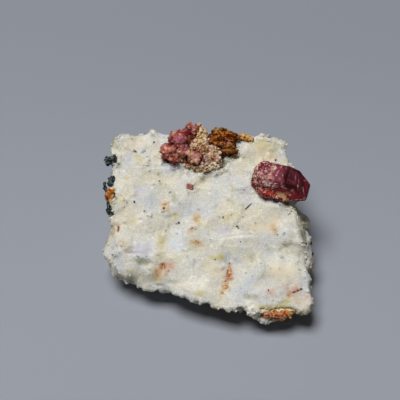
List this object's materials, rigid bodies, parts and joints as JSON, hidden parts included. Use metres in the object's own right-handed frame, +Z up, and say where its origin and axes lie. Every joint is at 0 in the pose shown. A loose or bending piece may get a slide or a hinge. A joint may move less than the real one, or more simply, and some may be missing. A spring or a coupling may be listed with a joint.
{
  "type": "mineral specimen, ruby in marble matrix",
  "caption": "Rough red ruby crystals with brown mica grown in a loose block of coarse white marble, resting on its flat underside.",
  "frame": {"origin": "under the middle of the specimen's bounding box, on the surface that it rests on", "axes": "+X to the right across the width as the picture shows it, +Y to the back, +Z up"},
  "size_m": [0.04, 0.0364, 0.0202],
  "materials": {
    "marble": "matte",
    "ruby": "gloss",
    "mica_crust": "matte",
    "phlogopite": "satin",
    "limonite": "matte",
    "amphibole": "satin"
  },
  "bodies": {
    "root": {"marble_matrix": "marble", "ruby_crystal": "ruby", "ruby_cluster": "ruby", "ruby_grain": "ruby", "mica_crust": "mica_crust", "phlogopite_mass": "phlogopite", "limonite_tail": "limonite", "limonite_grain": "limonite", "limonite_seam": "limonite", "amphibole_upper": "amphibole", "amphibole_middle": "amphibole", "amphibole_needle": "amphibole", "amphibole_lower": "amphibole"}
  },
  "joints": []
}
